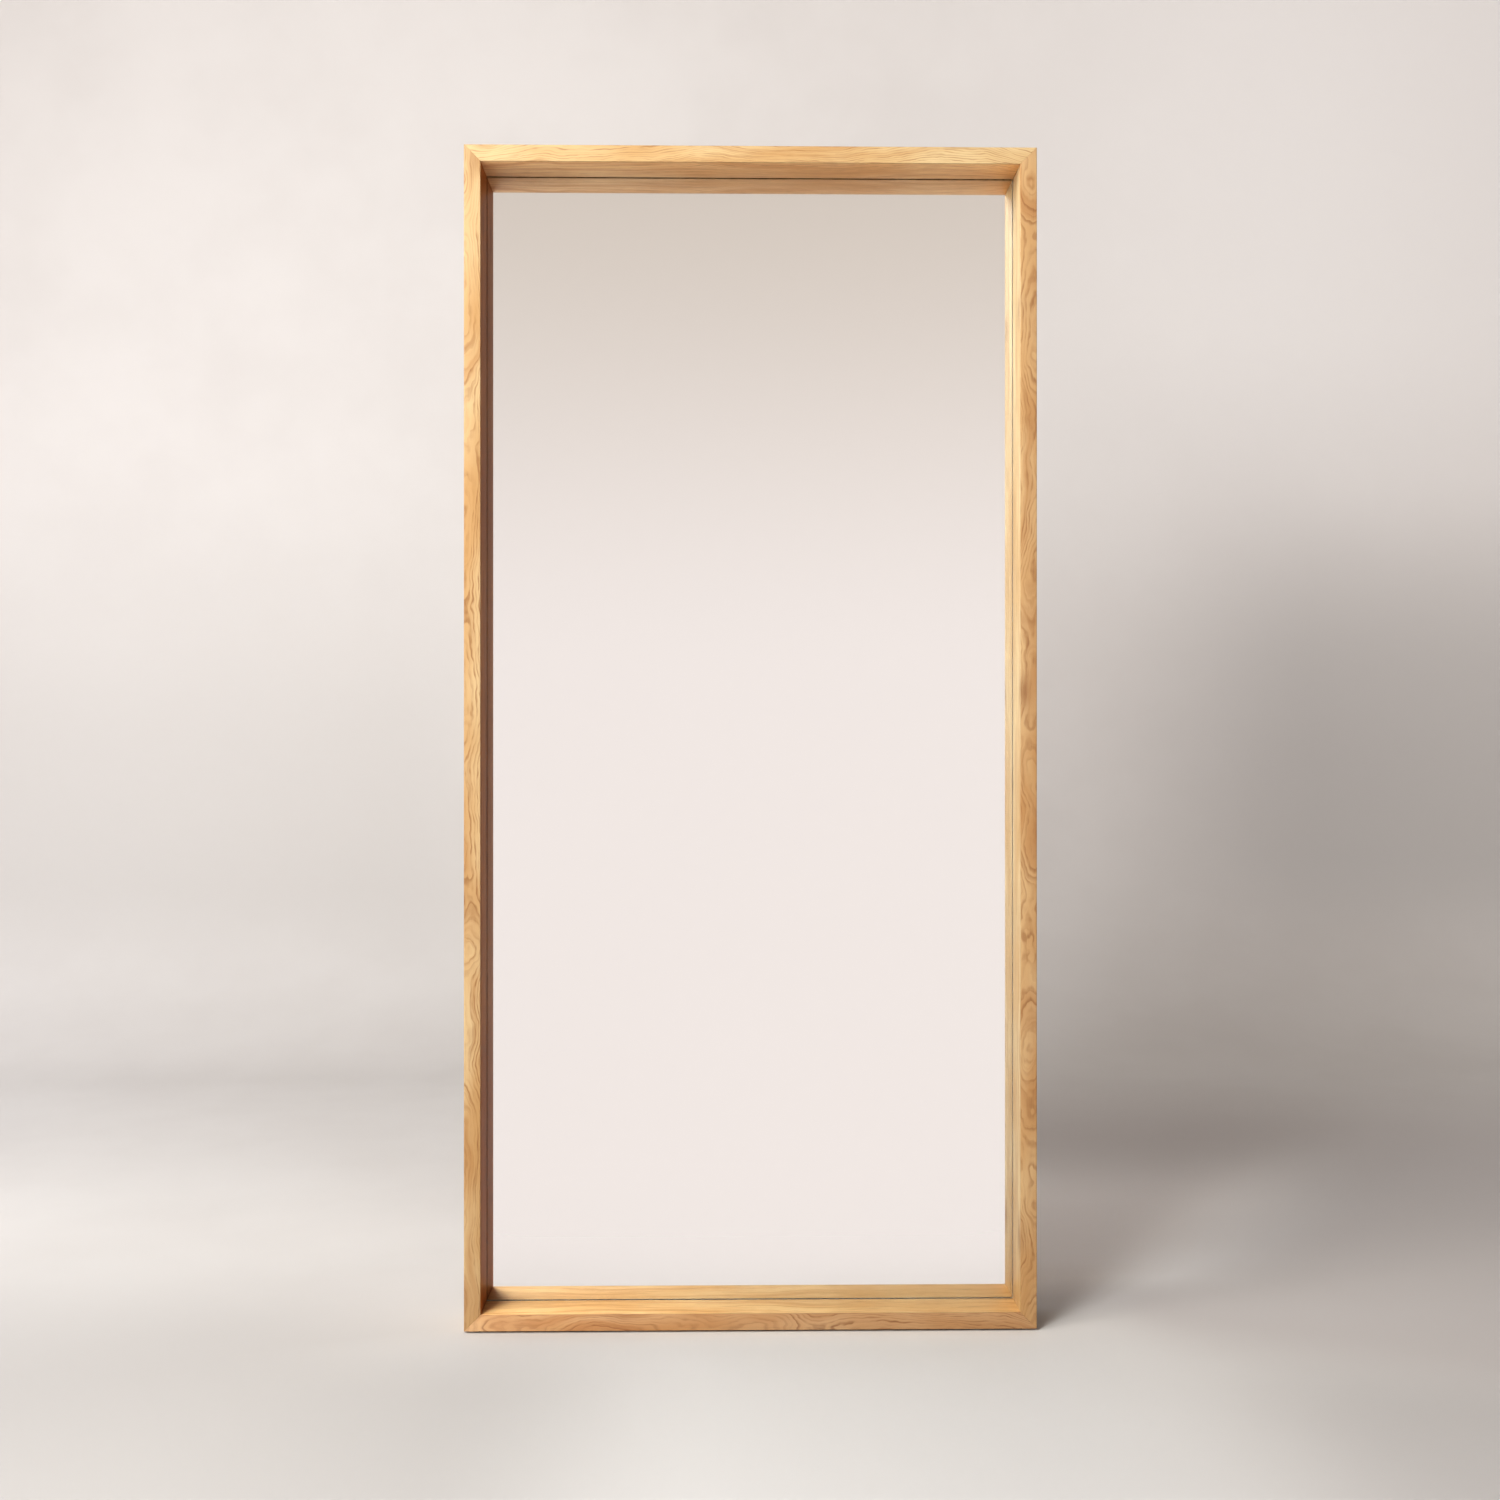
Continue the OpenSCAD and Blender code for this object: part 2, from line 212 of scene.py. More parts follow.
def oak_rings(s, u, v, w, seed, pith, sway):
    """The number of growth rings out from the pith, which wanders along the board, and how near a
    small knot is. The knots push the rings aside."""
    a, b = s.split(s.noise(s.vec((u, 2.3), seed * 1.3, 0.0), colour=True))[:2]
    local = s.noise(s.vec((u, 11.0), (v, 20.0), (w, 12.0)), detail=3.0)
    figure = s.math("MULTIPLY_ADD", s.ramp(w, 1.0 * MM, 30 * MM), -0.72, 1.0)
    off_v = s.math("MULTIPLY_ADD", s.math("SUBTRACT", a, 0.5), 0.10 * sway, pith[0])
    off_w = s.math("MULTIPLY_ADD", s.math("SUBTRACT", b, 0.5), 0.10 * sway, pith[1])
    out = s.length(s.math("ADD", v, off_v), s.math("ADD", w, off_w))
    knot = s.fall(s.cells(s.vec((u, 4.6), (v, 13.0), (w, 9.0)), 1.0), 0.0, 0.34)
    r = s.math("ADD", s.math("DIVIDE", out, RING_WIDTH), s.product(local, figure, 6.5))
    return s.math("ADD", r, s.product(knot, 1.5)), knot


def oak(
    name, along, seed, pith, at, tone=1.0, sway=1.0, tilt=0.0, warm=0.0,
    inner=0, edge=UNTINTED, side=UNTINTED, seat=False, gloss=0.28, painted_left_light=0.0,
):
    """Sawn oak. along is the axis of the board's length, and at the middle of its narrow face.
    Growth rings are shells round a wandering pith in front of the board, so that they cross its
    narrow face as flames and curls and its wide sides as long lines. Each ring is a row of pores.
    edge tints the whole board: the oak's tone, with painted light and shade that makes some boards
    paler and some darker. side tints the face that looks in at the glass with painted light or shade,
    and that face lies on the side that inner gives as 1 or -1. seat leaves bare wood on the ledge
    that the glass stands against, painted near white as light from the mirror, and lean paints
    light on the board's left end, paler there."""
    s = material(name)
    x, y, z = s.coords(tilt)
    station, across = (z, x) if along == "Z" else (x, z)
    u = s.math("ADD", station, seed * 3.17)
    v = s.math("SUBTRACT", across, at)
    w = s.math("SUBTRACT", y, FRONT)
    r, knot = oak_rings(s, u, v, w, seed, pith, sway)

    # one ring is a dark row of early pores, stronger in some years, that opens and closes
    ring = s.band(s.math("FRACT", r), (0.0, 0.14), (0.20, 0.66))
    year = s.ramp(s.noise(s.vec(s.math("FLOOR", r), seed, 0.0), 1.9, 0.0), 0.34, 0.66)
    dash = s.ramp(s.noise(s.vec((u, 38.0), (r, 0.9), seed), rough=0.6), 0.38, 0.62)
    ring = s.product(
        ring, s.math("MULTIPLY_ADD", year, 0.70, 0.30), s.math("MULTIPLY_ADD", dash, 0.75, 0.25)
    )
    fine = s.noise(s.vec((u, 30.0), (v, 1300.0), (w, 1300.0)), rough=0.6)
    pores = s.product(s.ramp(fine, 0.55, 0.67), s.math("MULTIPLY_ADD", ring, 0.8, 0.2))
    fibre = s.noise(s.vec((u, 8.0), (r, 2.2), (w, 90.0)), detail=3.0, rough=0.6)
    broad = s.noise(s.vec((u, 3.6), (r, 0.26), seed))
    cloud = s.noise(s.vec((u, 4.0), (v, 14.0), (w, 10.0)))
    wisp = s.noise(s.vec((u, 13.0), (r, 0.75), seed * 2.0), detail=3.0, rough=0.55)

    pale = tuple(k * tone for k in OAK_PALE)
    honey = tuple(k * tone for k in OAK_HONEY)
    dark = tuple(k * tone * (1.0 - warm) for k in OAK_DARK)
    base = s.mix(s.ramp(cloud, 0.32, 0.70), pale, honey)
    base = s.layer(base, OAK_BAND, s.ramp(broad, 0.46, 0.70), 0.55)
    base = s.layer(base, honey, s.ramp(fibre, 0.40, 0.75), 0.28)
    base = s.layer(base, dark, ring, 0.60)
    base = s.layer(base, dark, s.ramp(wisp, 0.55, 0.72), 0.34)
    base = s.layer(base, OAK_KNOT, s.math("POWER", knot, 3.0), 0.55)
    base = s.layer(base, OAK_PORE, pores, 0.42)

    # edge and side paint light and shade into the oak: edge makes each board paler or darker as light
    # falls on it, and side makes the face towards the glass paler where it is lit and darker where it is
    # shaded
    tint = edge
    if inner:
        inwards = s.product(v, inner)
        facing_in = s.ramp(inwards, BOARD / 2 - 3 * MM, BOARD / 2 - 1 * MM)
        tint = s.layer(edge, side, facing_in, s.ramp(w, 0.5 * MM, 2.5 * MM))
    base = s.times(base, tint)
    # painted light: the board is paler towards its left end, as if lit from the left
    if painted_left_light:
        end = s.math("MULTIPLY_ADD", s.ramp(station, -0.5, 0.15), -painted_left_light, 1.0 + painted_left_light)
        base = s.times(base, s.vec(end, end, end))
    # the ledge is bare oak, painted near white with light from the mirror
    if seat:
        ledge = s.ramp(w, RECESS - 0.5 * MM, RECESS - 0.2 * MM)
        wall_face = WALL - BOARD / 2
        past_wall = s.ramp(inwards, wall_face + 0.1 * MM, wall_face + 0.4 * MM)
        base = s.layer(base, BARE_OAK_AND_LIGHT, ledge, past_wall)

    rough = s.math("ADD", s.product(fibre, 0.16), s.math("MULTIPLY_ADD", pores, 0.12, 0.36))
    height = s.math("SUBTRACT", s.product(fibre, 0.25), s.math("ADD", pores, s.product(ring, 0.3)))
    s.surface(
        Base_Color=base, Roughness=rough, Normal=s.bump(height, 0.25, 0.4 * MM), Specular_IOR_Level=gloss
    )
    return s.owner


def glass_material():
    s = material("clear_glass")
    s.surface(Base_Color=(0.984, 0.985, 0.984, 1.0), Transmission_Weight=1.0, Roughness=0.0, IOR=1.5)
    return s.owner


def silver_material():
    s = material("silver_coat")
    cloud = s.noise(s.vec(*s.coords()), 3.0)
    tint = s.mix(s.product(cloud, 0.3), (0.93, 0.93, 0.92), (0.90, 0.905, 0.90))
    s.surface(Base_Color=tint, Metallic=1.0, Roughness=0.0)
    return s.owner


def pine_material(name, along):
    s = material(name)
    x, y, z = s.coords()
    u, v = (z, x) if along == "Z" else (x, z)
    bend = s.noise(s.vec((u, 1.6), (v, 9.0), y))
    r = s.math("ADD", s.product(v, 380.0), s.product(y, 210.0))
    r = s.math("ADD", r, s.product(bend, 9.0))
    ring = s.ramp(s.math("FRACT", r), 0.35, 1.0)
    fine = s.noise(s.vec((u, 14.0), (v, 900.0), (y, 900.0)))
    knot = s.fall(s.cells(s.vec((u, 2.3), (v, 20.0), 0.0), 5.0), 0.03, 0.10)
    base = s.layer(srgb(232, 206, 160), srgb(205, 160, 104), ring, 0.55)
    base = s.layer(base, srgb(190, 150, 100), s.ramp(fine, 0.4, 0.8), 0.25)
    base = s.layer(base, srgb(122, 76, 42), knot)
    s.surface(
        Base_Color=base,
        Roughness=s.math("MULTIPLY_ADD", fine, 0.2, 0.5),
        Normal=s.bump(s.math("ADD", fine, s.product(ring, 0.5)), 0.2, 0.3 * MM),
    )
    return s.owner


def hardboard_material():
    s = material("pressed_board")
    x, y, z = s.coords()
    at = s.vec(x, y, z)
    fibres = s.noise(at, 900.0, 3.0, 0.65, 0.6)
    cloud = s.noise(at, 7.0, 3.0, 0.55)
    fleck = s.noise(s.vec(x, y, (z, 2.2)), 420.0, 1.0, 0.5, 1.2)
    base = s.mix(s.ramp(cloud, 0.3, 0.7), srgb(126, 92, 62), srgb(146, 108, 74))
    base = s.layer(base, srgb(96, 66, 42), s.ramp(fibres, 0.45, 0.7), 0.45)
    base = s.layer(base, srgb(178, 140, 100), s.ramp(fleck, 0.62, 0.72), 0.6)
    s.surface(
        Base_Color=base,
        Roughness=s.math("MULTIPLY_ADD", fibres, 0.25, 0.45),
        Normal=s.bump(fibres, 0.15, 0.2 * MM),
    )
    return s.owner


def zinc_material():
    s = material("zinc_plate")
    x, y, z = s.coords()
    blotch = s.noise(s.vec(x, y, z), 160.0, 3.0, 0.6, 0.4)
    scratch = s.noise(s.vec(x, y, (z, 0.04)), 2600.0, 2.0, 0.6)
    base = s.mix(s.ramp(blotch, 0.3, 0.7), (0.50, 0.51, 0.52), (0.64, 0.645, 0.64))
    rough = s.math("ADD", s.product(blotch, 0.22), s.math("MULTIPLY_ADD", scratch, 0.16, 0.14))
    s.surface(Base_Color=base, Roughness=rough, Normal=s.bump(scratch, 0.08, 0.1 * MM), Metallic=1.0)
    return s.owner


def brass_material():
    s = material("turned_brass")
    x, y, z = s.coords()
    lines = s.noise(s.vec((x, 3000.0), 0.0, 0.0), 1.0, 1.0)
    base = s.mix(s.noise(s.vec(x, y, z), 220.0), (0.62, 0.44, 0.17), (0.74, 0.56, 0.26))
    rough = s.math("MULTIPLY_ADD", lines, 0.2, 0.2)
    s.surface(Base_Color=base, Roughness=rough, Normal=s.bump(lines, 0.1, 0.1 * MM), Metallic=1.0)
    return s.owner


def rubber_material():
    s = material("black_rubber")
    at = s.vec(*s.coords())
    grain = s.noise(at, 1800.0, 2.0, 0.6)
    dust = s.noise(at, 60.0, 3.0, 0.6)
    s.surface(
        Base_Color=s.mix(s.ramp(dust, 0.4, 0.8), (0.018, 0.018, 0.018), (0.050, 0.049, 0.047)),
        Roughness=s.math("MULTIPLY_ADD", dust, 0.2, 0.60),
        Normal=s.bump(grain, 0.25, 0.2 * MM),
    )
    return s.owner


def beech_material():
    s = material("beech_pin")
    x, y, z = s.coords()
    fleck = s.noise(s.vec(x, y, (z, 0.3)), 1500.0)
    cloud = s.noise(s.vec(x, y, z), 50.0)
    base = s.mix(s.ramp(cloud, 0.3, 0.7), srgb(214, 170, 122), srgb(198, 150, 102))
    base = s.layer(base, srgb(150, 104, 66), s.ramp(fleck, 0.5, 0.7), 0.5)
    rough = s.math("MULTIPLY_ADD", fleck, 0.2, 0.45)
    s.surface(Base_Color=base, Roughness=rough, Normal=s.bump(fleck, 0.2, 0.2 * MM))
    return s.owner


OAK_RAILS = oak("oak_back_rails", "X", 7.7, (0.05, 0.06), 1.2, tone=0.94, sway=1.6)
OAK_CROSS = oak("oak_cross_rails", "X", 8.3, (0.04, 0.05), 0.8, tone=0.96, sway=1.4, tilt=OPEN)
OAK_LEGS = oak("oak_legs", "Z", 9.1, (0.05, 0.05), 0.1, tone=0.96, sway=1.3, tilt=OPEN)
PINE_Z, PINE_X = pine_material("planed_pine", "Z"), pine_material("planed_pine_across", "X")
BEECH, HARDBOARD, BRASS = beech_material(), hardboard_material(), brass_material()
ZINC, RUBBER = zinc_material(), rubber_material()


# ---------------------------------------------------------------- mesh helpers


def new_object(name, bm, mat, body, node, sharp=34.0):
    """The piece that stands for a CAD node, smooth where its faces meet at under sharp degrees."""
    bmesh.ops.recalc_face_normals(bm, faces=bm.faces)
    limit = math.radians(sharp)
    for e in bm.edges:
        e.smooth = len(e.link_faces) == 2 and e.calc_face_angle(0.0) < limit
    for f in bm.faces:
        f.smooth = True
    mesh = bpy.data.meshes.new(name)
    bm.to_mesh(mesh)
    bm.free()
    mesh.materials.append(mat)
    obj = bpy.data.objects.new(name, mesh)
    bpy.context.scene.collection.objects.link(obj)
    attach(obj, body)
    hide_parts(node)
    return obj


def filleted(corners, steps=5):
    """A closed outline with each corner (x, y, radius) rounded."""
    out = []
    for i, (px, py, rad) in enumerate(corners):
        p = Vector((px, py))
        a = Vector(corners[i - 1][:2]) - p
        b = Vector(corners[(i + 1) % len(corners)][:2]) - p
        if rad <= 0:
            out.append(p)
            continue
        a.normalize()
        b.normalize()
        half = a.angle(b) / 2
        reach = rad / math.tan(half)
        centre = p + (a + b).normalized() * (rad / math.sin(half))
        start, end = p + a * reach - centre, p + b * reach - centre
        turn = start.angle_signed(end)
        for k in range(steps + 1):
            t = turn * k / steps
            sin, cos = math.sin(t), math.cos(t)
            out.append(centre + Vector((start.x * cos + start.y * sin, start.y * cos - start.x * sin)))
    return out


def inset(points, by):
    """Moves each point of a closed outline inwards, and a sharp corner not too far."""
    n = len(points)
    area = sum(points[i - 1].x * points[i].y - points[i].x * points[i - 1].y for i in range(n))
    side = 1 if area > 0 else -1
    out = []
    for i, p in enumerate(points):
        d1 = (p - points[i - 1]).normalized()
        d2 = (points[(i + 1) % n] - p).normalized()
        n1, n2 = Vector((-d1.y, d1.x)), Vector((-d2.y, d2.x))
        m = (n1 + n2).normalized()
        out.append(p + m * side * by / max(m.dot(n1), 0.4))
    return out


def join_rings(bm, a, b):
    """Skins the space between two closed rings of vertices of equal length."""
    for i in range(len(a)):
        j = (i + 1) % len(a)
        bm.faces.new((a[i], a[j], b[j], b[i]))


def loft(bm, rings):
    """Skins closed rings of equal length and caps both ends."""
    made = [[bm.verts.new(c) for c in ring] for ring in rings]
    for a, b in zip(made, made[1:]):
        join_rings(bm, a, b)
    bm.faces.new(made[0])
    bm.faces.new(list(reversed(made[-1])))


def slab(bm, outline, place, thick, edge):
    """An outline pushed through a thickness, with both rims chamfered. place(a, b, c) makes points."""
    small = inset(outline, edge)
    levels = ((0, small), (edge, outline), (thick - edge, outline), (thick, small))
    loft(bm, [[place(p.x, p.y, c) for p in points] for c, points in levels])


# ---------------------------------------------------------------- frame boards


EASE = 1.0 * MM
LEDGE_EASE = 0.4 * MM
BACK_EASE = 0.8 * MM
AIR = 0.15 * MM
MITRE_EASE = 0.22 * MM
MITRE_AIR = 0.02 * MM

# tint and inner tint hold the oak's tone and painted light and shade: the top rail is painted paler and
# the bottom rail darker, the left stile's inner face is painted dark with shade, and the top rail's and
# right stile's inner faces are painted pale with light
FRAME_BOARDS = {   # outer face, way in, axis of its length, ring seed, pith, tint, inner tint, more
    "left_stile": (
        LEFT, 1, "Z", 1.37, (0.010, 0.042), (0.56, 0.61, 0.70), (0.60, 0.35, 0.16),
        {"gloss": 0.12},
    ),
    "right_stile": (
        RIGHT, -1, "Z", 2.71, (-0.014, 0.045), (0.58, 0.60, 0.65), (0.84, 1.01, 1.22),
        {"seat": True},
    ),
    "top_rail": (
        TOP, -1, "X", 4.19, (-0.034, 0.040), (0.61, 0.69, 0.79), (1.24, 1.30, 1.44),
        {},
    ),
    "bottom_rail": (
        FOOT, 1, "X", 5.83, (0.028, 0.045), (0.54, 0.52, 0.57), (1.00, 1.08, 1.12),
        {"sway": 1.5, "warm": 0.1, "painted_left_light": 0.28, "seat": True},
    ),
}


def board_outline():
    """The section of a frame board: distance in from its outer face, and depth from its front edge."""
    return filleted(
        [
            (0, 0, EASE),
            (BOARD, 0, EASE),
            (BOARD, RECESS - AIR, LEDGE_EASE),
            (WALL, RECESS - AIR, 0),
            (WALL, DEPTH, BACK_EASE),
            (0, DEPTH, EASE),
        ]
    )


def frame_board(name, outer, inward, along, mat):
    """A board mitred at both ends, whose outer face is at outer and whose width runs inward."""
    length = HEIGHT if along == "Z" else WIDTH

    def place(t, y, s):
        """A point from the distance in, the depth and the station along the board."""
        across, depth = outer + inward * t, FRONT + y
        return Vector((across, depth, MID_Z + s)) if along == "Z" else Vector((s, depth, across))

    full = board_outline()
    ends = ((inset(full, MITRE_EASE), MITRE_AIR), (full, MITRE_EASE))
    bm = bmesh.new()
    rings = [
        [place(p.x, p.y, -(length / 2 - p.x - back)) for p in outline] for outline, back in ends
    ] + [
        [place(p.x, p.y, length / 2 - p.x - back) for p in outline] for outline, back in reversed(ends)
    ]
    loft(bm, rings)
    return new_object(name + "_board", bm, mat, "frame", name)


for name, (outer, inward, along, seed, pith, edge, side, more) in FRAME_BOARDS.items():
    middle = outer + inward * BOARD / 2
    wood = oak(f"oak_{name}", along, seed, pith, middle, inner=inward, edge=edge, side=side, **more)
    frame_board(name, outer, inward, along, wood)


# ---------------------------------------------------------------- CAD nodes that stay


def finish_node(name, mat, bevel, segments=2):
    """Gives a CAD node its material, and eased edges where bevel is set."""
    o = NODES[name]
    o.data.materials.clear()
    o.data.materials.append(mat)
    for p in o.data.polygons:
        p.material_index = 0
    if bevel:
        o.modifiers.new("weld", "WELD").merge_threshold = 0.01 * MM
        flat = o.modifiers.new("flat", "DECIMATE")
        flat.decimate_type, flat.angle_limit = "DISSOLVE", math.radians(0.5)
        ease = o.modifiers.new("ease", "BEVEL")
        ease.width, ease.segments = bevel, segments
        ease.limit_method, ease.angle_limit = "ANGLE", math.radians(32)
        ease.harden_normals = True


for names, *finish in (   # nodes, material, width of the eased edges, and their steps
    (("backer_panel",), HARDBOARD, 0.5 * MM),
    (("upper_back_rail", "hinge_rail", "lower_back_rail"), OAK_RAILS, 1.2 * MM),
    (("stand_top_rail", "stand_middle_rail", "stand_bottom_rail"), OAK_CROSS, 1.5 * MM),
    (("stand_leg_left", "stand_leg_right"), OAK_LEGS, 2.0 * MM, 3),
    (("batten_left", "batten_right"), PINE_Z, 0.8 * MM),
    (("batten_top", "batten_bottom"), PINE_X, 0.8 * MM),
    (("corner_splines", "tenon_pins"), BEECH, 0.0),
    (("foot_pads", "setting_blocks"), RUBBER, 0.4 * MM),
    (("ring_left", "ring_right"), ZINC, 0.0),
    (("pivot_bushes",), BRASS, 0.0),
):
    for name in names:
        finish_node(name, *finish)


# ---------------------------------------------------------------- glass

GLASS_EASE = 0.8 * MM
SILVER_EASE = 0.05 * MM
SILVER_INSIDE = 0.06 * MM


def pane(name, lo, hi, edge, mat, node):
    """A sheet with a small chamfer along all its edges."""
    bm = bmesh.new()
    rings = []
    for y, by in ((lo.y, edge), (lo.y + edge, 0), (hi.y - edge, 0), (hi.y, edge)):
        x0, x1, z0, z1 = lo.x + by, hi.x - by, lo.z + by, hi.z - by
        rings.append([Vector((x, y, z)) for x, z in ((x0, z0), (x1, z0), (x1, z1), (x0, z1))])
    loft(bm, rings)
    return new_object(name, bm, mat, "frame", node, sharp=10)


# The silver starts just inside the glass, so that light meets it before it leaves the back face
MARGIN = Vector((GLASS_EASE, 0, GLASS_EASE))
pane("glass_sheet", GLASS_LO, GLASS_HI, GLASS_EASE, glass_material(), "mirror_glass")
pane(
    "silver_sheet", SILVER_LO + MARGIN - Vector((0, SILVER_INSIDE, 0)), SILVER_HI - MARGIN, SILVER_EASE,
    silver_material(), "silver_layer",
)


# ---------------------------------------------------------------- turned and pressed hardware


def islands(node):
    """The lowest and highest corner of each separate solid in a CAD node, in a steady order."""
    mesh = NODES[node].data
    group = list(range(len(mesh.vertices)))

    def root(i):
        while group[i] != i:
            group[i] = group[group[i]]
            i = group[i]
        return i

    seen = {}
    for v in mesh.vertices:
        key = tuple(round(c * 1e5) for c in v.co)
        group[root(v.index)] = root(seen.setdefault(key, v.index))
    for p in mesh.polygons:
        for i in p.vertices[1:]:
            group[root(i)] = root(p.vertices[0])
    found = {}
    for v in mesh.vertices:
        found.setdefault(root(v.index), []).append(v.co)
    boxes = [
        [Vector([pick(c) for c in zip(*corners)]) for pick in (min, max)] for corners in found.values()
    ]
    return sorted(boxes, key=lambda b: tuple(round(c, 4) for c in b[0]))


def facing(at, axis):
    """A matrix that puts local +Z along axis, with its origin at a point."""
    return Matrix.Translation(at) @ Vector(axis).to_track_quat("Z", "Y").to_matrix().to_4x4()


def circle(r, z, steps):
    angles = [2 * math.pi * i / steps for i in range(steps)]
    return [Vector((r * math.cos(a), r * math.sin(a), z)) for a in angles]


def skin(bm, m, rings, cap_end=True, close=False):
    """Joins rings of equal length in order, moved by m: capped at both ends, open at the last one
    without cap_end, or with close joined round to the first one."""
    made = [[bm.verts.new(m @ c) for c in ring] for ring in rings]
    for a, b in zip(made, made[1:]):
        join_rings(bm, a, b)
    if close:
        join_rings(bm, made[-1], made[0])
        return made
    bm.faces.new(list(reversed(made[0])))
    if cap_end:
        bm.faces.new(made[-1])
    return made


def turned(bm, m, profile, steps, close=False):
    """A turned shape from (radius, height) pairs."""
    skin(bm, m, [circle(r, z, steps) for r, z in profile], close=close)


def cross_head(bm, m, r, h, steps=24):
    """A pan head with a cross recess, seated on z = 0."""
    pan = ((0.97, 0), (1, 0.14), (1, 0.32), (0.93, 0.62), (0.80, 0.86), (0.62, 1))
    rim = skin(bm, m, [circle(a * r, b * h, steps) for a, b in pan], cap_end=False)[-1]
    arm, half = 0.46 * r, 0.115 * r
    plus = [
        (arm, -half), (arm, half), (half, half), (half, arm), (-half, arm), (-half, half),
        (-arm, half), (-arm, -half), (-half, -half), (-half, -arm), (half, -arm), (half, -half),
    ]
    top = [bm.verts.new(m @ Vector((x, y, h))) for x, y in plus]
    low = [bm.verts.new(m @ Vector((x * 0.72, y * 0.72, 0.38 * h))) for x, y in plus]
    edges = [bm.edges.get((rim[i], rim[(i + 1) % steps])) for i in range(steps)]
    for i, corner in enumerate(top):
        j = (i + 1) % len(top)
        bm.faces.new((corner, low[i], low[j], top[j]))
        edges.append(bm.edges.get((corner, top[j])))
    bm.faces.new(list(reversed(low)))
    bmesh.ops.triangle_fill(bm, use_beauty=True, use_dissolve=False, edges=edges)


def screws(name, node, head_h):
    """Cross-recessed screws in the places of a CAD node's solids. Each head faces out of its hole."""
    bm = bmesh.new()
    middle = Vector((0, 0, MID_Z))
    for lo, hi in islands(node):
        size = hi - lo
        k = max(range(3), key=lambda i: size[i])
        centre = (lo + hi) / 2
        axis = Vector((0, 0, 0))
        axis[k] = 1.0 if k == 1 or middle[k] > centre[k] else -1.0
        r = max(size[i] for i in range(3) if i != k) / 2
        tip = centre - axis * (size[k] / 2)
        seat = centre + axis * (size[k] / 2 - head_h)
        cross_head(bm, facing(seat, axis), r, head_h)
        shank = 0.5 * r
        point = [(shank * 0.2, 0), (shank, 3 * MM), (shank, (seat - tip).length)]
        turned(bm, facing(tip, axis), point, 12)
    return new_object(name, bm, ZINC, "frame", node)


HEX_STEPS = 36
BOLT_R = 4.0 * MM
BOLT_HEAD = 4.5 * MM
BOLT_POINT = 0.8 * MM
THREAD = 1.25 * MM
THREAD_END = 12 * MM


def hexagon(r, z, soft=0.0):
    """A hexagon sampled as a ring, drawn towards its inscribed circle by soft."""
    ring = []
    flat = r * math.cos(math.pi / 6)
    for i in range(HEX_STEPS):
        a = 2 * math.pi * i / HEX_STEPS
        edge = flat / math.cos((a + math.pi / 6) % (math.pi / 3) - math.pi / 6)
        d = edge + (flat - edge) * soft
        ring.append(Vector((d * math.cos(a), d * math.sin(a), z)))
    return ring


def bolts():
    """Button-head bolts with a hexagon socket, threaded at the nut end."""
    bm = bmesh.new()
    for lo, hi in islands("pivot_bolts"):
        centre, size = (lo + hi) / 2, hi - lo
        axis = Vector((1.0 if centre.x > 0 else -1.0, 0, 0))
        r, h = size.z / 2, BOLT_HEAD
        seat = centre + axis * (size.x / 2 - h)
        m = facing(seat, axis)
        button = ((1, 0), (1, 0.22), (0.95, 0.45), (0.82, 0.72), (0.62, 0.93), (0.5, 1))
        rim = skin(bm, m, [circle(a * r, b * h, HEX_STEPS) for a, b in button], cap_end=False)[-1]
        socket = [hexagon(0.42 * r, h), hexagon(0.42 * r, 0.42 * h)]
        mouth, floor = [[bm.verts.new(m @ c) for c in ring] for ring in socket]
        join_rings(bm, rim, mouth)
        join_rings(bm, mouth, floor)
        bm.faces.new(list(reversed(floor)))
        profile = [(0.75 * BOLT_R, 0), (BOLT_R, BOLT_POINT)]
        z = BOLT_POINT
        while z < THREAD_END:
            profile += [(0.90 * BOLT_R, z + THREAD / 2), (BOLT_R, z + THREAD)]
            z += THREAD
        profile.append((BOLT_R, size.x - h))
        turned(bm, facing(centre - axis * (size.x / 2), axis), profile, 28)
    return new_object("pivot_bolt_pair", bm, ZINC, "frame", "pivot_bolts")


def nuts():
    """Hexagon nuts with chamfered corners and a nylon-insert collar."""
    bm = bmesh.new()
    for lo, hi in islands("pivot_nuts"):
        centre, size = (lo + hi) / 2, hi - lo
        axis = Vector((-1.0 if centre.x > 0 else 1.0, 0, 0))
        h, r = size.x, max(size.y, size.z) / 2
        flat = r * math.cos(math.pi / 6)
        m = facing(centre - axis * (h / 2), axis)
        collar = [(0.95, 0.73), (0.90, 0.96), (0.84, 1)]
        rings = [circle(BOLT_R, 0, HEX_STEPS), circle(flat * 0.97, 0, HEX_STEPS)]
        for level, soft in ((0.10, 0.25), (0.16, 0.0), (0.62, 0.0), (0.70, 0.6)):
            rings.append(hexagon(r, level * h, soft))
        rings += [circle(flat * a, b * h, HEX_STEPS) for a, b in collar]
        rings += [circle(BOLT_R * 1.1, h, HEX_STEPS), circle(BOLT_R, 0.93 * h, HEX_STEPS)]
        skin(bm, m, rings, close=True)
    return new_object("pivot_nut_pair", bm, ZINC, "frame", "pivot_nuts")


STEEL, STEEL_EASE = 3.0 * MM, 0.4 * MM
BASE_CORNER = 6 * MM
EAR_HALF, EAR_ROOT, LEG_AIR = 20 * MM, 0.5 * MM, 1 * MM
BEAD, BEAD_HALF = 1.8 * MM, 19 * MM


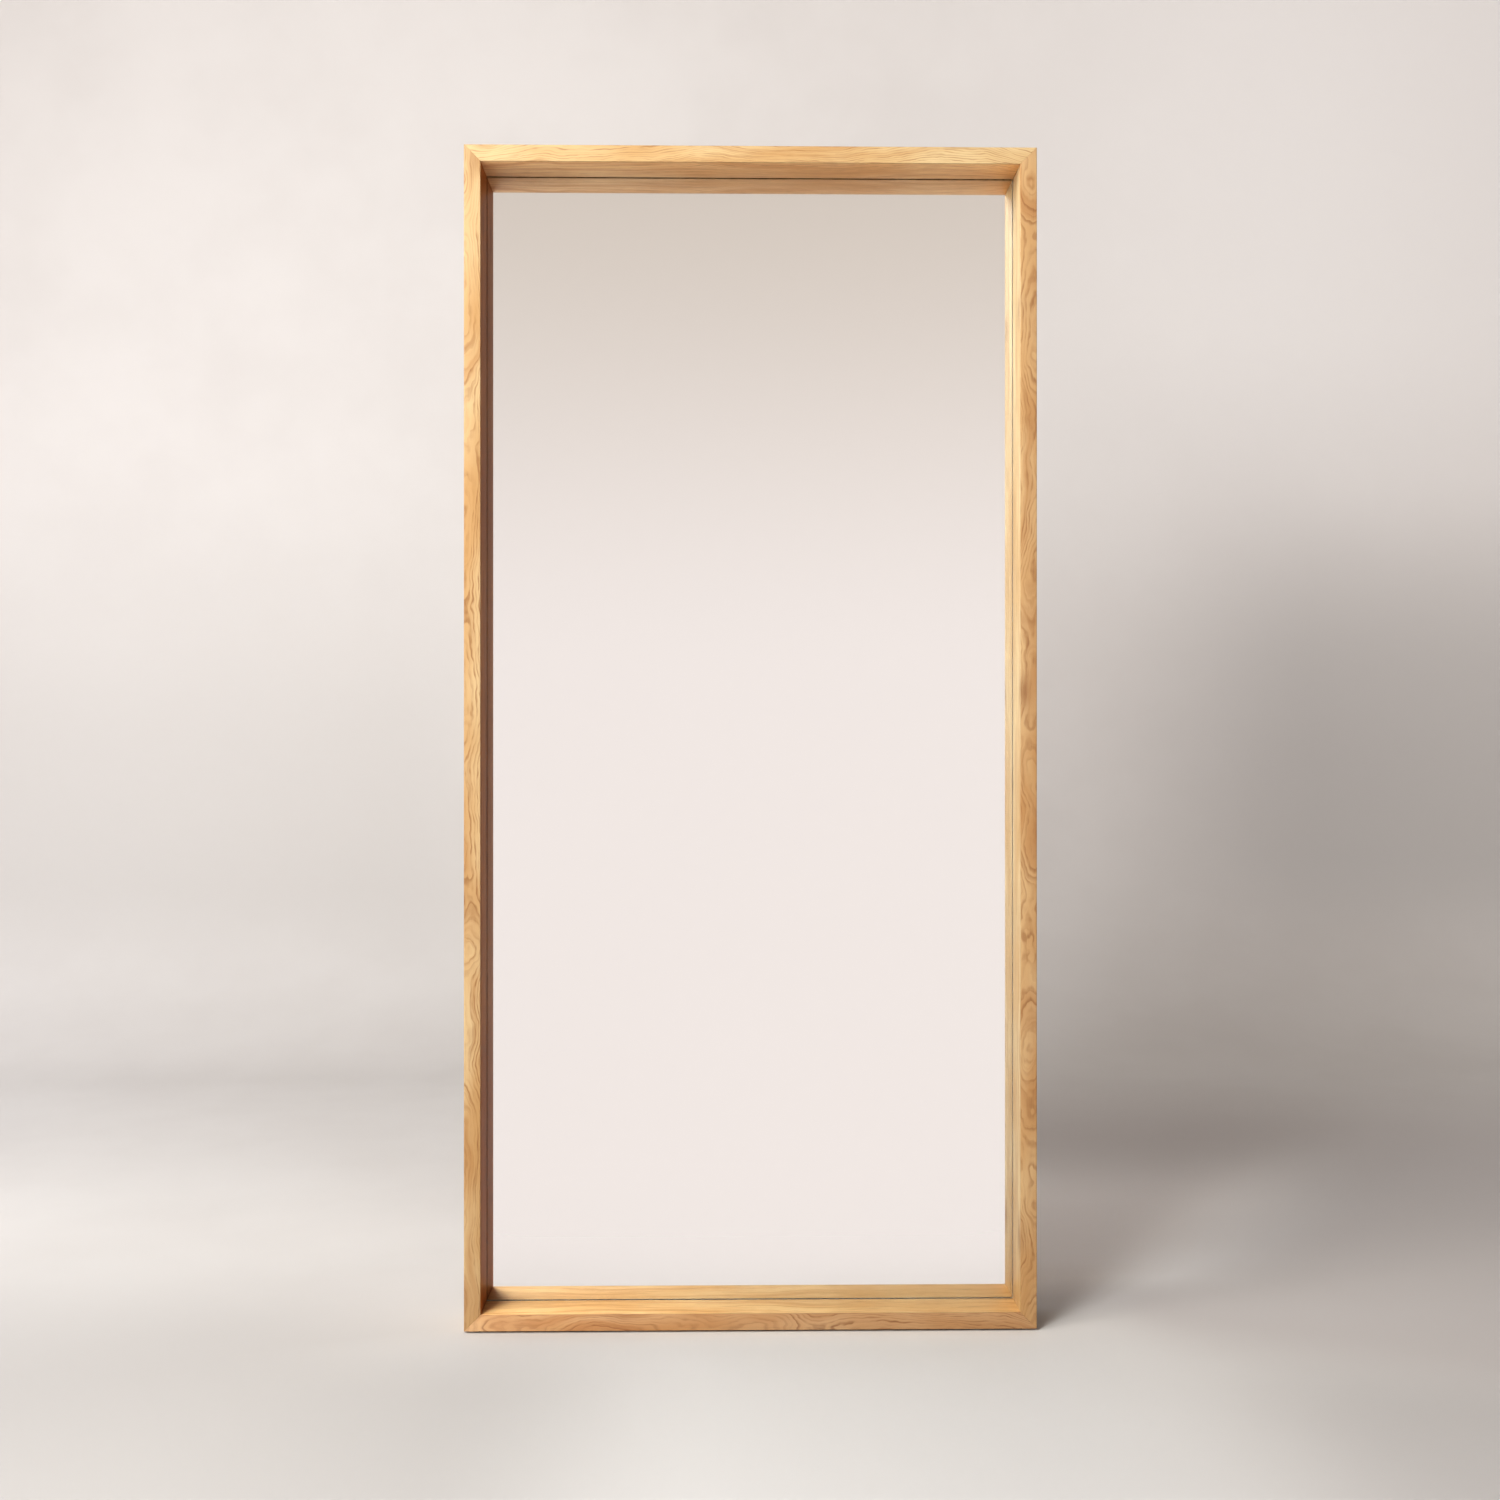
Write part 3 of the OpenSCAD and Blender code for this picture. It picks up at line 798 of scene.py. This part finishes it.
def bracket(side):
    """A bracket with rounded corners: a base plate and two ears that are welded to it."""
    node = f"pivot_bracket_{side}"
    lo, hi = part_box(node)
    leg_lo, leg_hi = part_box(f"stand_leg_{side}")
    mid_x, half_x, half_z = (lo.x + hi.x) / 2, (hi.x - lo.x) / 2, (hi.z - lo.z) / 2
    bm = bmesh.new()
    corners = ((-half_x, -half_z), (half_x, -half_z), (half_x, half_z), (-half_x, half_z))
    slab(
        bm, filleted([(*corner, BASE_CORNER) for corner in corners]),
        lambda a, b, c: Vector((mid_x + a, lo.y + c, PIVOT.z + b)), STEEL, STEEL_EASE,
    )
    reach, nose = PIVOT.y - lo.y, hi.y - PIVOT.y
    ear = [Vector((EAR_ROOT, -EAR_HALF)), Vector((reach, -nose))]
    for i in range(1, 16):
        a = math.pi * i / 16
        ear.append(Vector((reach + nose * math.sin(a), -nose * math.cos(a))))
    ear += [Vector((reach, nose)), Vector((EAR_ROOT, EAR_HALF))]
    weld = [Vector((0, 0))]
    for i in range(6):
        a = math.pi / 2 * i / 5
        weld.append(Vector((BEAD * (1 - math.sin(a)), BEAD * (1 - math.cos(a)))))
    gap = (leg_hi.x - leg_lo.x) / 2 + LEG_AIR
    for start in (mid_x + gap, mid_x - gap - STEEL):
        slab(
            bm, ear, lambda a, b, c, s=start: Vector((s + c, lo.y + a, PIVOT.z + b)), STEEL, STEEL_EASE
        )
        for face, way in ((start, -1), (start + STEEL, 1)):
            loft(bm, [
                [Vector((face + way * p.x, lo.y + STEEL + p.y, PIVOT.z + z)) for p in weld]
                for z in (-BEAD_HALF, BEAD_HALF)
            ])
    return new_object(f"bracket_{side}", bm, ZINC, "frame", node)


WIRE_AIR = 0.05 * MM
STRIP_CORNER, STRIP_EASE, STRIP_OVERLAP = 4 * MM, 0.3 * MM, 1 * MM


def hanger_plate(side):
    """A strip with rounded top corners, whose lower end is rolled round the ring's wire."""
    node = f"hanger_plate_{side}"
    lo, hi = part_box(node)
    wire_lo, wire_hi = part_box(f"ring_{side}")
    roll_r, bore_r = (hi.y - lo.y) / 2, (wire_hi.y - wire_lo.y) / 2 + WIRE_AIR
    half_x, mid_x = (hi.x - lo.x) / 2, (lo.x + hi.x) / 2
    axis_y, axis_z = lo.y + roll_r, lo.z + roll_r
    foot = axis_z - STRIP_OVERLAP
    strip = [(-half_x, foot, 0), (half_x, foot, 0)]
    strip += [(half_x, hi.z, STRIP_CORNER), (-half_x, hi.z, STRIP_CORNER)]
    bm = bmesh.new()
    slab(
        bm, filleted(strip), lambda a, b, c: Vector((mid_x + a, lo.y + c, b)), roll_r - bore_r, STRIP_EASE
    )
    # the roll leaves the strip's back, turns under the wire and stops just short of the strip
    turns = [math.radians(a) for a in range(-180, 121, 10)]
    roll = [Vector((roll_r * math.cos(a), roll_r * math.sin(a))) for a in turns]
    roll += [Vector((bore_r * math.cos(a), bore_r * math.sin(a))) for a in reversed(turns)]
    slab(
        bm, roll, lambda a, b, c: Vector((lo.x + c, axis_y + a, axis_z + b)), hi.x - lo.x, STRIP_EASE
    )
    return new_object(f"hanger_strip_{side}", bm, ZINC, "frame", node)


STAND = Matrix.Translation(PIVOT) @ Matrix.Rotation(OPEN, 4, "X")
FOOT_R = 13 * MM
FOOT_RISE = 36 * MM
LIP, LIP_H, LIP_EASE = 0.7 * MM, 4 * MM, 1 * MM
TREAD_STEPS, TREAD_DENT = 60, 0.8 * MM
LEG_L = (PIVOT.z - FOOT_R) / math.cos(OPEN)


def rubber_foot(side):
    """A cap over the end of a leg: rounded corners, a rolled lip and a ribbed round tread."""
    lo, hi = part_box(f"stand_foot_{side}")
    mid, half = (lo.x + hi.x) / 2, (hi.x - lo.x) / 2
    top = -LEG_L + FOOT_RISE
    cap_side = [
        (FOOT_R, -LEG_L + 7 * MM), (FOOT_R - LIP, -LEG_L + 9 * MM),
        (FOOT_R - LIP, top - LIP_H - LIP_EASE), (FOOT_R, top - LIP_H),
        (FOOT_R, top - LIP_EASE), (FOOT_R - LIP_EASE, top),
    ]
    outline = [Vector((-a, b)) for a, b in reversed(cap_side)]
    for i in range(TREAD_STEPS + 1):
        a = math.pi * i / TREAD_STEPS
        r = FOOT_R - (TREAD_DENT if i % 5 in (2, 3) and 4 < i < TREAD_STEPS - 4 else 0.0)
        outline.append(Vector((-r * math.cos(a), -LEG_L - r * math.sin(a))))
    outline += [Vector(p) for p in cap_side]
    corner = ((0.0, 1.6 * MM), (0.5 * MM, 0.5 * MM), (1.6 * MM, 0.0))
    levels = [(mid - half + d, by) for d, by in corner]
    levels += [(mid + half - d, by) for d, by in reversed(corner)]
    bm = bmesh.new()
    loft(bm, [
        [STAND @ Vector((x, p.x, p.y)) for p in (inset(outline, by) if by else outline)]
        for x, by in levels
    ])
    return new_object(
        f"rubber_foot_{side}", bm, RUBBER, "stand", f"stand_foot_{side}", sharp=40
    )


BUFFER_BORE, BUFFER_SEAT = 5.5 * MM, 4 * MM


def buffers():
    """Turned rubber buffers with a counterbore for their screw."""
    bm = bmesh.new()
    for lo, hi in islands("fold_buffers"):
        long, r = hi.y - lo.y, (hi.z - lo.z) / 2
        shank = BUFFER_BORE * 0.4
        profile = [
            (shank, 0), (r - 0.4 * MM, 0), (r, 0.4 * MM), (r, 2.4 * MM), (r - 0.8 * MM, 3.2 * MM),
            (r - 1.4 * MM, long - 1.6 * MM), (r - 2.0 * MM, long - 0.4 * MM), (r - 2.8 * MM, long),
            (BUFFER_BORE + 0.6 * MM, long), (BUFFER_BORE, long - 0.6 * MM),
            (BUFFER_BORE, BUFFER_SEAT), (shank, BUFFER_SEAT),
        ]
        base = Vector(((lo.x + hi.x) / 2, lo.y, (lo.z + hi.z) / 2))
        turned(bm, facing(base, (0, 1, 0)), profile, 40, close=True)
    return new_object("fold_buffer_pair", bm, RUBBER, "frame", "fold_buffers")


PAD_RIBS, PAD_EASE = 6, 0.4 * MM
RIB = ((-1.0 * MM, 0.02), (-0.3 * MM, 0.18), (0, 0.32), (0, 0.68), (-0.3 * MM, 0.82), (-1.0 * MM, 0.98))


def stop_pads():
    """Rubber pads ribbed across, where the heels of the open stand bear."""
    bm = bmesh.new()
    for lo, hi in islands("stop_pads"):
        thick, pitch = hi.y - lo.y, (hi.z - lo.z) / PAD_RIBS
        outline = [Vector((0, lo.z))]
        for i in range(PAD_RIBS):
            outline += [Vector((thick + a, lo.z + (i + b) * pitch)) for a, b in RIB]
        outline.append(Vector((0, hi.z)))
        slab(
            bm, outline, lambda a, b, c, x=lo.x, y=lo.y: Vector((x + c, y + a, b)), hi.x - lo.x, PAD_EASE
        )
    return new_object("stop_pad_pair", bm, RUBBER, "frame", "stop_pads")


for kind, head_height in (
    ("batten", 1.5 * MM),
    ("rail", 1.8 * MM),
    ("bracket", 2.2 * MM),
    ("buffer", 2.2 * MM),
    ("hanger", 1.6 * MM),
):
    screws(f"{kind}_screw_set", f"{kind}_screws", head_height)
bolts()
nuts()
for side in ("left", "right"):
    bracket(side)
    hanger_plate(side)
    rubber_foot(side)
buffers()
stop_pads()


# ---------------------------------------------------------------- studio

# The light of the room by direction, as shares of ROOM_GLOW, and how much it dims high up
ROOM_GLOW = (0.955, 0.880, 0.850)
ROOM_HIGH = (0.762, 0.731, 0.676)
LOBES = {
    "front": (1.04, 1.05, 1.06),
    "left": (1.10, 1.10, 1.16),
    "right": (0.42, 0.40, 0.37),
    "back": (0.36, 0.35, 0.34),
    "zenith": (0.05, 0.05, 0.05),
}
ROOM_PLAIN = tuple(a * b for a, b in zip(ROOM_GLOW, LOBES["front"]))

# The floor runs from NEAR_END to a cove of radius COVE, which rises into a wall at WALL_Y
WALL_Y, COVE, HALF_SPAN, NEAR_END, WALL_TOP = 3.4, 1.4, 9.0, -9.0, 6.0
FLOOR_STEPS, COVE_STEPS = 12, 16

# Where the floor fades into the room in front, and how that moves at the sides, for the camera and
# for what is seen in the mirror
GLOW_NEAR, GLOW_FAR = 0.25, 1.2
SIDE_DELAY, CAMERA_DELAY, MIRROR_LEAD = -0.55, -0.60, 0.60


def sweep_mesh():
    """A floor that curves up into a wall behind the mirror."""
    run = WALL_Y - COVE - NEAR_END
    points = [(NEAR_END + run * i / FLOOR_STEPS, 0.0) for i in range(FLOOR_STEPS + 1)]
    for i in range(1, COVE_STEPS + 1):
        a = math.pi / 2 * i / COVE_STEPS
        points.append((WALL_Y - COVE + COVE * math.sin(a), COVE - COVE * math.cos(a)))
    points.append((WALL_Y, WALL_TOP))
    bm = bmesh.new()
    left, right = [[bm.verts.new((x, y, z)) for y, z in points] for x in (-HALF_SPAN, HALF_SPAN)]
    for i in range(len(points) - 1):
        bm.faces.new((left[i], right[i], right[i + 1], left[i + 1])).smooth = True
    mesh = bpy.data.meshes.new("studio")
    bm.to_mesh(mesh)
    bm.free()
    return mesh


def painted_light_and_shade(s, x, y, z, base):
    """Painted light and shade on the plaster, in fixed places: paler high on the right, and duller low
    down at both sides, with a pale patch beside the mirror's foot and a painted shadow to its right.
    """
    ahead, leftwards, off = s.product(y, -1.0), s.product(x, -1.0), s.math("ABSOLUTE", x)
    slant = s.math("MULTIPLY_ADD", y, -0.67, x)
    line = s.math("MULTIPLY_ADD", x, 0.5, y)
    centre = s.math("SUBTRACT", s.ramp(ahead, 0.10, 0.30), s.ramp(off, 0.35, 0.8), clamp=True)
    painted_light_beside = s.math("SUBTRACT", s.ramp(x, 0.30, 0.50), s.ramp(slant, 0.50, 0.95), clamp=True)
    painted_light_beside = s.product(painted_light_beside, s.band(y, (-0.1, 0.1), (0.5, 1.4)))
    # each patch paints light or shade: a paler or darker colour laid where the floor or wall should be
    # lit or shaded
    light_and_shade_patches = (
        ((0.79, 0.782, 0.775), s.ramp(x, 0.2, 2.4), s.ramp(z, 0.6, 2.6)),
        ((0.60, 0.590, 0.580), s.ramp(x, 1.2, 2.2), s.band(z, (0.2, 0.6), (1.2, 2.0))),
        ((0.50, 0.485, 0.476), s.ramp(leftwards, -0.1, 0.9), s.ramp(ahead, -0.5, 0.5)),
        ((0.56, 0.542, 0.533), s.ramp(x, 0.42, 0.9), s.ramp(ahead, 0.05, 0.6)),
        ((0.655, 0.645, 0.638), centre),
        (
            (0.635, 0.62, 0.605),
            s.ramp(leftwards, 0.5, 1.3), s.ramp(y, 1.4, 2.6), s.band(z, (0.15, 0.5), (0.9, 2.2)),
        ),
        (
            (0.50, 0.487, 0.475),
            s.ramp(leftwards, 1.5, 2.8), s.fall(y, 1.0, 2.0), s.fall(z, 0.1, 0.8),
        ),
        ((0.52, 0.505, 0.495), s.band(leftwards, (0.05, 0.45), (0.7, 1.2)), s.ramp(ahead, 0.0, 0.5)),
        # painted light in the mirror's shadow, beside its right foot
        ((0.97, 0.955, 0.94), painted_light_beside),
        # painted shadow on the floor to the right of the mirror, running forward
        (
            (0.59, 0.563, 0.552),
            s.ramp(x, 0.46, 0.70), s.ramp(line, -0.05, 0.25), s.fall(y, 0.9, 2.2),
            s.math("SUBTRACT", 1.0, painted_light_beside),
        ),
    )
    for colour, *mask in light_and_shade_patches:
        base = s.layer(base, colour, *mask)
    return base


def stage_surface():
    """Pale plaster on the sweep, which fades into the light of the room in front and far out."""
    s = material("pale_plaster")
    x, y, z = s.coords()
    soft = s.noise(s.vec(x, y, z), 2.2, 3.0, 0.55)
    fine = s.noise(s.vec(x, y, z), 240.0, 2.0, 0.6)
    base = s.mix(s.ramp(soft, 0.3, 0.7), (0.680, 0.664, 0.650), (0.704, 0.690, 0.677))
    # painted light and shade in fixed places on the floor and wall
    base = painted_light_and_shade(s, x, y, z, base)
    off = s.math("ABSOLUTE", x)
    path = s.t.nodes.new("ShaderNodeLightPath").outputs
    reach = s.math("MULTIPLY_ADD", s.ramp(off, 0.40, 0.95), SIDE_DELAY, s.product(y, -1.0))
    reach = s.math("MULTIPLY_ADD", path["Is Camera Ray"], CAMERA_DELAY, reach)
    reach = s.math("MULTIPLY_ADD", path["Is Transmission Ray"], MIRROR_LEAD, reach)
    far = s.math("MAXIMUM", s.ramp(reach, GLOW_NEAR, GLOW_FAR), s.ramp(off, 2.8, 5.2))
    plaster = s.surface(Base_Color=base, Roughness=0.85, Normal=s.bump(fine, 0.06, 1 * MM))
    glow = s.node("ShaderNodeEmission", Color=(*ROOM_PLAIN, 1.0), Strength=1.0)
    blend = s.t.nodes.new("ShaderNodeMixShader")
    for socket, value in zip(blend.inputs, (far, plaster.outputs[0], glow.outputs[0])):
        s.put(socket, value)
    s.put(s.out.inputs["Surface"], blend.outputs[0])
    mesh = sweep_mesh()
    mesh.materials.append(s.owner)
    obj = bpy.data.objects.new("studio_sweep", mesh)
    bpy.context.scene.collection.objects.link(obj)


def lobe_light(s, x, y, z):
    """The light from each side of the room, blended round and up."""
    flat = s.math("MAXIMUM", s.length(x, y), 0.0001)   # never zero, even straight up
    across, away = s.math("DIVIDE", x, flat), s.math("DIVIDE", y, flat)
    right, left = s.ramp(across, 0.22, 0.70), s.ramp(s.product(across, -1.0), 0.22, 0.70)
    middle = s.math("SUBTRACT", 1.0, s.math("ADD", left, right))
    back, low = s.ramp(away, -0.2, 0.2), s.fall(z, 0.45, 0.95)
    shares = {
        "front": s.product(middle, s.math("SUBTRACT", 1.0, back), low),
        "left": s.product(left, low),
        "right": s.product(right, low),
        "back": s.product(middle, back, low),
        "zenith": s.ramp(z, 0.45, 0.95),
    }
    total = (0.0, 0.0, 0.0)
    for name, share in shares.items():
        tint = s.node("ShaderNodeVectorMath", {"operation": "SCALE"}, Scale=share)
        tint.inputs[0].default_value = LOBES[name]
        add = s.t.nodes.new("ShaderNodeVectorMath")
        s.put(add.inputs[0], total)
        s.put(add.inputs[1], tint.outputs[0])
        total = add.outputs[0]
    return total


def world_light():
    """A soft room: bright in front and to the left, dim on the right, and darker upwards. The
    mirror shows a room that is even all round, and the camera a plain backdrop."""
    world = bpy.data.worlds.new("soft_room")
    bpy.context.scene.world = world
    s = Tree(world, "ShaderNodeOutputWorld")
    x, y, z = s.split(s.t.nodes.new("ShaderNodeTexCoord").outputs["Generated"])[0:3]
    high = tuple(a * b for a, b in zip(ROOM_GLOW, ROOM_HIGH))
    fade = s.mix(s.ramp(z, 0.05, 0.40), ROOM_GLOW, high)
    path = s.t.nodes.new("ShaderNodeLightPath").outputs
    round_light = s.mix(path["Is Transmission Ray"], lobe_light(s, x, y, z), LOBES["front"])
    colour = s.mix(path["Is Camera Ray"], s.times(round_light, fade), ROOM_PLAIN)
    s.put(s.out.inputs["Surface"], s.node("ShaderNodeBackground", Color=colour).outputs[0])


def area_light(name, at, aim, size, power, colour, mirrored):
    """A soft box that the camera doesn't see, and that the mirror shows only where mirrored is set."""
    data = bpy.data.lights.new(name, "AREA")
    data.shape, data.size = "SQUARE", size
    data.energy, data.color = power, colour
    obj = bpy.data.objects.new(name, data)
    obj.location = at
    obj.visible_camera = False
    obj.visible_glossy = obj.visible_transmission = mirrored
    obj.rotation_euler = (Vector(aim) - Vector(at)).to_track_quat("-Z", "Y").to_euler()
    bpy.context.scene.collection.objects.link(obj)


stage_surface()
world_light()
# name, place, height of its aim, size, power, colour, and whether the mirror shows it
for name, at, aim_z, *rest in (
    ("key", (-1.9, -3.5, 2.0), 1.0, 1.5, 128.0, (0.99, 1.0, 0.96), False),
    ("high", (-2.4, -2.0, 4.2), 0.5, 1.4, 76.0, (1.0, 0.97, 0.90), True),
    ("top", (-1.9, -3.2, 3.7), 0.9, 1.0, 76.0, (0.92, 0.96, 1.0), True),
    ("left", (-4.6, -1.6, 1.8), 1.0, 1.8, 40.0, (1.0, 0.97, 1.0), True),
    ("behind", (-4.2, 0.8, 1.2), 0.9, 1.4, 40.0, (0.84, 0.88, 1.0), False),
):
    area_light(name, at, (0, 0, aim_z), *rest)

# ---------------------------------------------------------------- camera

# Set so that the outline and the depth of the recess look as they do in the photograph
SENSOR, LENS, SHIFT = 36.0, 41.06, 0.0107
CAMERA_X, CAMERA_AWAY, CAMERA_Z = -0.044, 2.686, 0.889
CAMERA_YAW = math.radians(-0.9)


def make_camera():
    data = bpy.data.cameras.new("camera")
    data.sensor_width, data.lens, data.shift_y = SENSOR, LENS, SHIFT
    obj = bpy.data.objects.new("camera", data)
    obj.location = (CAMERA_X, FRONT - CAMERA_AWAY, CAMERA_Z)
    obj.rotation_euler = (math.radians(90), 0, CAMERA_YAW)
    bpy.context.scene.collection.objects.link(obj)
    bpy.context.scene.camera = obj


make_camera()
bpy.context.scene.view_settings.view_transform = "Standard"
bpy.context.scene.view_settings.gamma = 0.8   # deepens the middle tones
